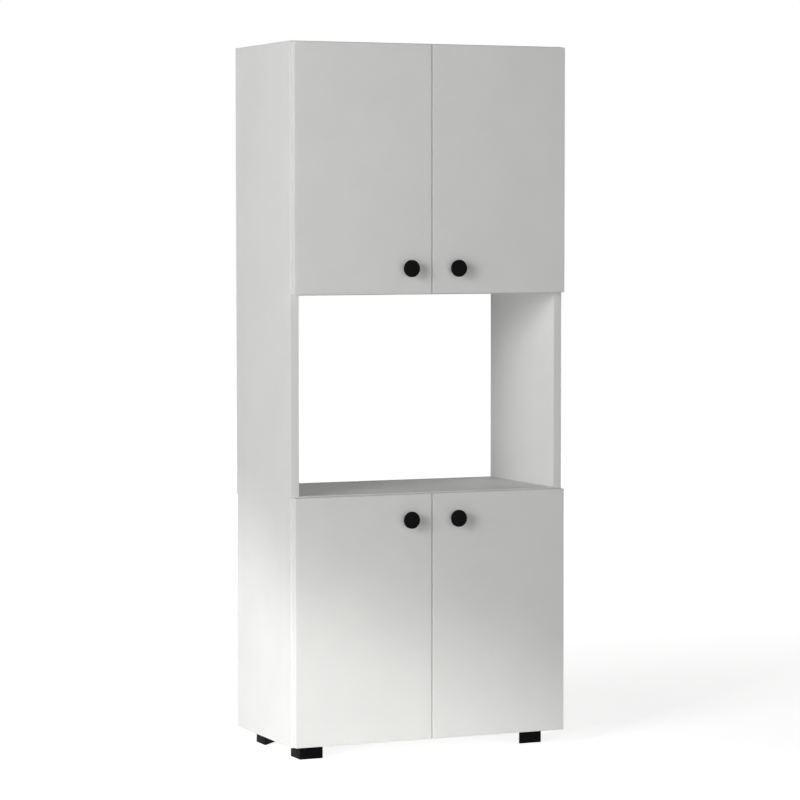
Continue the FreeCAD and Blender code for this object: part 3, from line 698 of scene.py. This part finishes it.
def knobProfile(kit):
    rimBack = kit["projection"] - kit["rim"]
    rimFront = kit["projection"] - kit["crown"]
    soft = kit["rimRound"]
    flare = kit["footRadius"] - kit["neck"]
    inner = kit["radius"] - soft
    bore = kit["screwBore"]
    profile = [(0, kit["boreDepth"]), (bore, kit["boreDepth"]), (bore, kit["boreSoft"])]
    profile.append((bore + kit["boreSoft"], 0))
    footSoft = kit["footRound"]
    profile += arcPoints((kit["footRadius"] - footSoft, footSoft), footSoft, -90, 0, 4)
    profile.append((kit["footRadius"], kit["footHeight"]))
    profile += arcPoints((kit["footRadius"], kit["footHeight"] + flare), flare, 270, 180, 8)[1:]
    profile += arcPoints((kit["neck"] + soft, rimBack - soft), soft, 180, 90, 6)
    profile += arcPoints((inner, rimBack + soft), soft, -90, 0, 8)
    profile += arcPoints((inner, rimFront - soft), soft, 0, 90, 8)
    ballRadius = (inner ** 2 + kit["crown"] ** 2) / (2 * kit["crown"])
    rings = int(inner / kit["turningStep"])
    for ring in range(rings * 2 - 1, 0, -1):
        radius = inner * ring / (rings * 2)
        rise = kit["projection"] - ballRadius + math.sqrt(ballRadius ** 2 - radius ** 2)
        dip = kit["turningDepth"] if ring % 2 else 0
        profile.append((radius, rise - dip))
    profile.append((0, kit["projection"]))
    return profile


def makeKnobs(kit):
    for name in doorNames:
        low, high = boxOf("knob_" + name)
        centre = (low + high) / 2
        bm = turnedMesh(knobProfile(kit), kit["segments"])
        piece = finishedObject("turned_knob_" + name, bm, finishes["black_knob"], creaseAngle=60)
        piece.matrix_world = Matrix.Translation((centre.x, high.y, centre.z)) @ towards((0, -1, 0))
        standIn(piece, "door_" + name, "knob_" + name)


makeKnobs(knobKit)
print("knobs turned")


# Screws, with cross recesses and cut threads

screwKits = {       # mm
    "foot_screws": {"headRadius": 3.6, "head": 2.6, "shank": 1.75, "pitch": 1.8,
                    "shape": "pan", "recess": 2.1},
    "hinge_plate_screws": {"headRadius": 3.6, "head": 1.8, "shank": 1.75, "pitch": 1.8,
                           "shape": "cheese", "recess": 2.1},
    "cup_screws": {"headRadius": 3.4, "head": 1.6, "shank": 1.75, "pitch": 1.8,
                   "shape": "pan", "recess": 1.9},
    "knob_screw": {"headRadius": 4.2, "head": 2.4, "shank": 1.95, "pitch": 0.7,
                   "shape": "pan", "recess": 2.3},
    "hinge_arm_screws": {"headRadius": 4.4, "head": 2.6, "shank": 2.4, "pitch": 0.8,
                         "shape": "cheese", "recess": 2.5},
}
screwFinish = {
    "segments": 32,
    "rowsPerTurn": 6,
    "threadDepth": 0.45,     # mm
    "threadPerPitch": 0.4,   # the thread is no deeper than this share of its pitch
    "crestSlope": 3.2,       # steepness of the thread's flanks
    "plainShank": 1.0,       # mm without thread, below the head
    "plainCrest": 0.3,
    "tip": 2.0,              # mm of taper
    "tipShare": 0.12,        # radius left at the very tip
    "firstTurn": 11,         # degrees, so that no two recesses stand alike
    "turnStep": 37,
}
crossKit = {"arm": 0.24, "lowReach": 0.45, "lowWidth": 0.7, "above": 0.4}


def screwHeadProfile(kit):
    # from the rim under the head, up and over to the middle; the top is at height 0
    radius = kit["headRadius"]
    height = kit["head"]
    if kit["shape"] == "pan":
        soft = height * 0.5
        side = [(radius, -height), (radius, -soft)]
        return side + arcPoints((radius - soft, -soft), soft, 0, 90, 6)[1:] + [(0, 0)]
    bevel = height * 0.14
    return [(radius - bevel, -height), (radius, -height + bevel), (radius, -bevel),
            (radius - bevel, 0), (0, 0)]


def threadedShank(kit, length, finish):
    # rings whose radius follows the thread as it climbs
    bm = bmesh.new()
    segments = finish["segments"]
    top = -kit["head"] + 0.01
    rowStep = kit["pitch"] / finish["rowsPerTurn"]
    rows = max(4, int((length - kit["head"]) / rowStep))
    depth = min(finish["threadDepth"], kit["pitch"] * finish["threadPerPitch"])
    rings = []
    for row in range(rows + 1):
        height = top - (length - kit["head"]) * row / rows
        fromTip = length + height
        taper = min(1.0, finish["tipShare"] + (1 - finish["tipShare"]) * fromTip / finish["tip"])
        ring = []
        for step in range(segments):
            turn = step / segments
            phase = ((top - height) / kit["pitch"] + turn) % 1.0
            crest = max(0.0, 1 - abs(phase - 0.5) * finish["crestSlope"])
            if top - height < finish["plainShank"]:
                crest = finish["plainCrest"]
            radius = (kit["shank"] - depth + depth * crest) * taper
            angle = 2 * math.pi * turn
            point = Vector((radius * math.cos(angle), radius * math.sin(angle), height))
            ring.append(bm.verts.new(point * mm))
        rings.append(ring)
    for upper, lower in zip(rings, rings[1:]):
        for step in range(segments):
            after = (step + 1) % segments
            bm.faces.new((upper[step], upper[after], lower[after], lower[step]))
    bm.faces.new(rings[0])
    bm.faces.new(list(reversed(rings[-1])))
    bmesh.ops.recalc_face_normals(bm, faces=bm.faces)
    return bm


def crossCutter(reach, depth):
    # tapered cross: two crossed wedges
    bm = bmesh.new()
    kit = crossKit
    wide = reach * kit["arm"]
    for turn in (0, 90):
        turned = Matrix.Rotation(math.radians(turn), 3, "Z")
        ringTop = []
        ringLow = []
        for x, y in ((-reach, -wide), (reach, -wide), (reach, wide), (-reach, wide)):
            upper = turned @ Vector((x, y, kit["above"]))
            lower = turned @ Vector((x * kit["lowReach"], y * kit["lowWidth"], -depth))
            ringTop.append(bm.verts.new(upper * mm))
            ringLow.append(bm.verts.new(lower * mm))
        bm.faces.new(ringTop)
        bm.faces.new(list(reversed(ringLow)))
        for step in range(4):
            after = (step + 1) % 4
            bm.faces.new((ringTop[step], ringLow[step], ringLow[after], ringTop[after]))
    bmesh.ops.recalc_face_normals(bm, faces=bm.faces)
    return bm


def screwMesh(kit, length, finish):
    # one screw along local Z, head up, made once for each kind
    material = finishes["zinc_screw"]
    profile = [(0, -kit["head"])] + screwHeadProfile(kit)
    head = finishedObject("screwHead", turnedMesh(profile, finish["segments"]), material)
    cutter = finishedObject("screwCross", crossCutter(kit["recess"], kit["head"] * 0.75), material)
    cutter.data.polygons.foreach_set("use_smooth", [False] * len(cutter.data.polygons))
    cutAway(head, [cutter])
    bm = threadedShank(kit, length, finish)
    bm.from_mesh(head.data)
    mesh = head.data
    bpy.data.objects.remove(head)
    bpy.data.meshes.remove(mesh)
    return bm


def screwDirection(node, centre):
    # where a screw's head points to
    if node.startswith("foot"):
        return Vector((0, 0, -1))
    if node.startswith("hinge"):
        return Vector((-1 if centre.x > 0 else 1, 0, 0))
    return Vector((0, 1, 0))


def makeScrews(node, body, kit, finish):
    parts = looseParts(node)
    direction = screwDirection(node, parts[0][0])
    axis = max(range(3), key=lambda index: abs(direction[index]))
    length = (parts[0][1][axis] - parts[0][0][axis]) / mm
    single = screwMesh(kit, length, finish)
    template = bpy.data.meshes.new("screwTemplate")
    single.to_mesh(template)
    single.free()
    bm = bmesh.new()
    for index, (low, high) in enumerate(parts):
        centre = (low + high) / 2
        direction = screwDirection(node, centre)
        top = centre.copy()
        top[axis] = high[axis] if direction[axis] > 0 else low[axis]
        angle = finish["turnStep"] * index + finish["firstTurn"]
        turn = Matrix.Rotation(math.radians(angle), 4, "Z")
        before = len(bm.verts)
        bm.from_mesh(template)
        bm.verts.ensure_lookup_table()
        placed = Matrix.Translation(top) @ towards(direction) @ turn
        bmesh.ops.transform(bm, matrix=placed, verts=bm.verts[before:])
    bpy.data.meshes.remove(template)
    piece = finishedObject("threaded_" + node, bm, finishes["zinc_screw"], creaseAngle=40)
    standIn(piece, body, node)


for node in ("foot_screws", "hinge_plate_screws", "hinge_arm_screws"):
    makeScrews(node, carcassBody, screwKits[node], screwFinish)
for name in doorNames:
    for family in ("cup_screws", "knob_screw"):
        makeScrews(family + "_" + name, "door_" + name, screwKits[family], screwFinish)
print("screws cut")


# Corner feet, moulded in one piece each

footKit = {
    "leg": 52.0,            # mm, along each side of the corner
    "height": 30.0,
    "cornerRound": 1.3,
    "edgeSoft": 0.6,
    "wellRadius": 4.2,
    "wellDepth": 20.0,
    "segments": 32,         # of a well's circle
    "holeRadius": 1.8,
    "screws": ((9.0, 28.0), (28.0, 9.0)),
    "padInset": 3.2,        # the standing rim round the recessed underside
    "padDepth": 0.7,
    "roundSteps": 6,
    "overrun": 1.0,         # how far the cutters reach past the faces they cut
}


def roundedTriangle(leg, inset, cornerRound, steps):
    # right-angled triangle with its corner at the origin and legs along +X and +Y
    diagonal = inset * (1 + math.sqrt(2))
    corners = [Vector((inset, inset)), Vector((leg - diagonal, inset)), Vector((inset, leg - diagonal))]
    outline = []
    for index, corner in enumerate(corners):
        before = (corners[index - 1] - corner).normalized()
        after = (corners[(index + 1) % 3] - corner).normalized()
        half = before.angle(after) / 2
        centre = corner + (before + after).normalized() * (cornerRound / math.sin(half))
        start = corner + before * (cornerRound / math.tan(half)) - centre
        sweep = math.pi - 2 * half
        for step in range(steps + 1):
            turned = Matrix.Rotation(sweep * step / steps, 2) @ start
            outline.append(centre + turned)
    return outline


def prism(outline, low, high):
    bm = bmesh.new()
    lower = [bm.verts.new((x * mm, y * mm, low * mm)) for x, y in outline]
    upper = [bm.verts.new((x * mm, y * mm, high * mm)) for x, y in outline]
    bm.faces.new(upper)
    bm.faces.new(list(reversed(lower)))
    count = len(outline)
    for step in range(count):
        after = (step + 1) % count
        bm.faces.new((lower[step], lower[after], upper[after], upper[step]))
    bmesh.ops.recalc_face_normals(bm, faces=bm.faces)
    return bm


def footMesh(kit):
    material = finishes["foot_plastic"]
    outline = roundedTriangle(kit["leg"], 0, kit["cornerRound"], kit["roundSteps"])
    body = finishedObject("footBody", prism(outline, 0, kit["height"]), material)
    soft = body.modifiers.new("soft", "BEVEL")
    soft.width = kit["edgeSoft"] * mm
    soft.segments = 3
    soft.limit_method = "ANGLE"
    soft.angle_limit = math.radians(60)
    withModifiers(body)
    recess = roundedTriangle(kit["leg"], kit["padInset"], kit["cornerRound"], kit["roundSteps"])
    below = -kit["overrun"]
    above = kit["height"] + kit["overrun"]
    cutters = [finishedObject("footRecess", prism(recess, below, kit["padDepth"]), material)]
    profile = [(0, below), (kit["wellRadius"], below), (kit["wellRadius"], kit["wellDepth"]),
               (kit["holeRadius"], kit["wellDepth"]), (kit["holeRadius"], above), (0, above)]
    for x, y in kit["screws"]:
        cutter = finishedObject("footWell", turnedMesh(profile, kit["segments"]), material)
        cutter.matrix_world = Matrix.Translation((x * mm, y * mm, 0))
        cutters.append(cutter)
    bpy.context.view_layer.update()
    return cutAway(body, cutters)


def makeFeet(kit):
    single = footMesh(kit)
    for end in ("front", "rear"):
        for side in ("left", "right"):
            node = "foot_" + end + "_" + side
            low, high = boxOf(node)
            alongX = 1 if side == "left" else -1
            alongY = 1 if end == "front" else -1
            cornerX = low.x if side == "left" else high.x
            cornerY = low.y if end == "front" else high.y
            bm = bmesh.new()
            bm.from_mesh(single.data)
            corner = Matrix.Translation((cornerX, cornerY, low.z))
            mirrored = Matrix.Diagonal((alongX, alongY, 1, 1))
            bmesh.ops.transform(bm, matrix=corner @ mirrored, verts=bm.verts)
            bmesh.ops.recalc_face_normals(bm, faces=bm.faces)
            piece = finishedObject("moulded_" + node, bm, finishes["foot_plastic"], creaseAngle=40)
            standIn(piece, carcassBody, node)
    mesh = single.data
    bpy.data.objects.remove(single)
    bpy.data.meshes.remove(mesh)


makeFeet(footKit)
print("feet moulded")


# Clear bumpers on the board edges behind the doors

bumperKit = {
    "radius": 4.0,           # mm
    "thickness": 0.7,
    "flatRadius": 2.95,      # where the rounded edge begins
    "upright": 0.3,          # shares of the thickness: the straight side, then the rounded edge
    "rounded": 0.6,
    "domeRadius": 0.6,       # share of the flat, where the slight dome has its shoulder
    "domeHeight": 0.97,
    "roundSteps": 8,
    "segments": 40,
}


def makeBumpers(kit):
    bm = bmesh.new()
    template = bpy.data.meshes.new("bumperTemplate")
    flat = kit["flatRadius"]
    profile = [(0, 0), (kit["radius"], 0), (kit["radius"], kit["thickness"] * kit["upright"])]
    for step in range(1, kit["roundSteps"]):
        angle = math.pi / 2 * step / kit["roundSteps"]
        radius = flat + (kit["radius"] - flat) * math.cos(angle)
        profile.append((radius, kit["thickness"] * (kit["upright"] + kit["rounded"] * math.sin(angle))))
    profile.append((flat * kit["domeRadius"], kit["thickness"] * kit["domeHeight"]))
    profile.append((0, kit["thickness"]))
    single = turnedMesh(profile, kit["segments"])
    single.to_mesh(template)
    single.free()
    for low, high in looseParts("door_buffers"):
        centre = (low + high) / 2
        before = len(bm.verts)
        bm.from_mesh(template)
        bm.verts.ensure_lookup_table()
        turned = Matrix.Translation((centre.x, high.y, centre.z)) @ towards((0, -1, 0))
        bmesh.ops.transform(bm, matrix=turned, verts=bm.verts[before:])
    bpy.data.meshes.remove(template)
    piece = finishedObject("soft_bumpers", bm, finishes["clear_pad"], creaseAngle=50)
    standIn(piece, carcassBody, "door_buffers")


makeBumpers(bumperKit)
print("bumpers set")


# Floor, lights and camera

stageKit = {
    "floorSize": 60.0,           # m
    "floorColour": (0.78, 0.78, 0.775),
    "floorRoughness": 0.9,
    "floorDrop": 0.0005,         # m below the feet
    "glowNear": 0.80,            # added for the camera, so the floor shows as plain white
    "glowFar": 1.0,
    "nearRadius": 0.8,           # m from the cabinet, where the glow starts to rise
    "farRadius": 3.6,
    "ambient": 0.045,
    "ambientColour": (1.0, 0.985, 0.965),
}


def seenDirectly(tree):
    # 1 where the camera, a mirror or glass looks, 0 where only light bounces
    path = addNode(tree, "ShaderNodeLightPath")
    seen = mathNode(tree, "MAXIMUM", path.outputs["Is Camera Ray"], path.outputs["Is Glossy Ray"])
    return mathNode(tree, "MAXIMUM", seen, path.outputs["Is Transmission Ray"])


def makeFloor(kit):
    material, tree, shader = newMaterial("paleFloor")
    shader.inputs["Base Color"].default_value = (*kit["floorColour"], 1)
    shader.inputs["Roughness"].default_value = kit["floorRoughness"]
    shader.inputs["Specular IOR Level"].default_value = 0.0
    shader.inputs["Emission Color"].default_value = (1, 1, 1, 1)
    distance = addNode(tree, "ShaderNodeVectorMath", operation="LENGTH")
    tree.links.new(objectPlace(tree), distance.inputs[0])
    glow = mapped(tree, distance.outputs["Value"], kit["nearRadius"], kit["farRadius"],
                  kit["glowNear"], kit["glowFar"])
    shown = mathNode(tree, "MULTIPLY", seenDirectly(tree), glow)
    tree.links.new(shown, shader.inputs["Emission Strength"])
    bm = bmesh.new()
    bmesh.ops.create_grid(bm, x_segments=8, y_segments=8, size=kit["floorSize"] / 2)
    floor = finishedObject("studio_floor", bm, material)
    floor.location.z = -kit["floorDrop"]


def makeSky(kit):
    world = bpy.data.worlds.new("paleStudio")
    scene.world = world
    world.use_nodes = True
    tree = world.node_tree
    lighting = tree.nodes["Background"]
    lighting.inputs["Color"].default_value = (*kit["ambientColour"], 1)
    lighting.inputs["Strength"].default_value = kit["ambient"]
    backdrop = addNode(tree, "ShaderNodeBackground")
    backdrop.inputs["Color"].default_value = (1, 1, 1, 1)
    backdrop.inputs["Strength"].default_value = 1.0
    mixed = addNode(tree, "ShaderNodeMixShader")
    tree.links.new(seenDirectly(tree), mixed.inputs[0])
    tree.links.new(lighting.outputs[0], mixed.inputs[1])
    tree.links.new(backdrop.outputs[0], mixed.inputs[2])
    tree.links.new(mixed.outputs[0], tree.nodes["World Output"].inputs["Surface"])


lightKits = {
    "leftWindow": {"kind": "AREA", "place": (-4.6, -2.2, 1.0), "aim": (0, 0, 0.8), "size": (2.5, 2.2),
                   "power": 70.0, "colour": (0.985, 1.0, 0.998)},
    "leftHigh": {"kind": "AREA", "place": (-4.4, -2.6, 2.2), "aim": (0, 0, 0.8), "size": (2.0, 1.4),
                 "power": 87.0, "colour": (0.985, 1.0, 1.0)},
    "frontSoft": {"kind": "AREA", "place": (-1.0, -6.5, 1.1), "aim": (0, 0, 0.8), "size": (4.0, 2.6),
                  "power": 82.0, "colour": (1.0, 0.985, 0.965)},
    "frontRight": {"kind": "AREA", "place": (2.5, -6.5, 1.6), "aim": (0, 0, 0.8), "size": (2.0, 2.0),
                   "power": 12.0, "colour": (1.0, 0.985, 0.965)},
    "lowSpot": {"kind": "SPOT", "place": (-4.0, -3.36, 0.573), "aim": (-1.395, 0.426, -1.884),
                "size": (0.06, 0.06), "cone": 61.6, "blend": 0.22,
                "power": 565.0, "colour": (1.0, 0.995, 0.985)},
    "behindLow": {"kind": "AREA", "place": (1.0, 6.0, 0.42), "aim": (0, 0, 0.75), "size": (3.0, 0.2),
                  "power": 140.0, "colour": (1.0, 1.0, 1.0)},
}


def makeLights(kits):
    for name, kit in kits.items():
        light = bpy.data.lights.new(name, kit["kind"])
        if kit["kind"] == "AREA":
            light.shape = "RECTANGLE"
            light.size, light.size_y = kit["size"]
        else:
            light.shadow_soft_size = kit["size"][0]
            light.spot_size = math.radians(kit["cone"])
            light.spot_blend = kit["blend"]
        light.energy = kit["power"]
        light.color = kit["colour"]
        lamp = bpy.data.objects.new(name, light)
        scene.collection.objects.link(lamp)
        spot = Vector(kit["place"])
        away = spot - Vector(kit["aim"])
        lamp.matrix_world = Matrix.Translation(spot) @ towards(away)
        lamp.visible_camera = False


cameraKit = {
    "place": (-2.5912, -5.9290, 1.0744),   # m
    "turnRight": 23.567,                   # degrees
    "lookDown": 3.192,
    "roll": -0.033,
    "lens": 141.35,                        # mm
    "sensor": 36.0,
    "clipEnd": 200.0,                      # m
}


def makeCamera(kit):
    camera = bpy.data.cameras.new("photoCamera")
    camera.lens = kit["lens"]
    camera.sensor_width = kit["sensor"]
    camera.clip_end = kit["clipEnd"]
    view = bpy.data.objects.new("photoCamera", camera)
    scene.collection.objects.link(view)
    heading = Matrix.Rotation(math.radians(-kit["turnRight"]), 4, "Z")
    tilt = Matrix.Rotation(math.radians(90 - kit["lookDown"]), 4, "X")
    roll = Matrix.Rotation(math.radians(kit["roll"]), 4, "Z")
    view.matrix_world = Matrix.Translation(kit["place"]) @ heading @ tilt @ roll
    scene.camera = view


makeFloor(stageKit)
makeSky(stageKit)
makeLights(lightKits)
makeCamera(cameraKit)
scene.view_settings.view_transform = "Standard"
print("stage, lights and camera set")
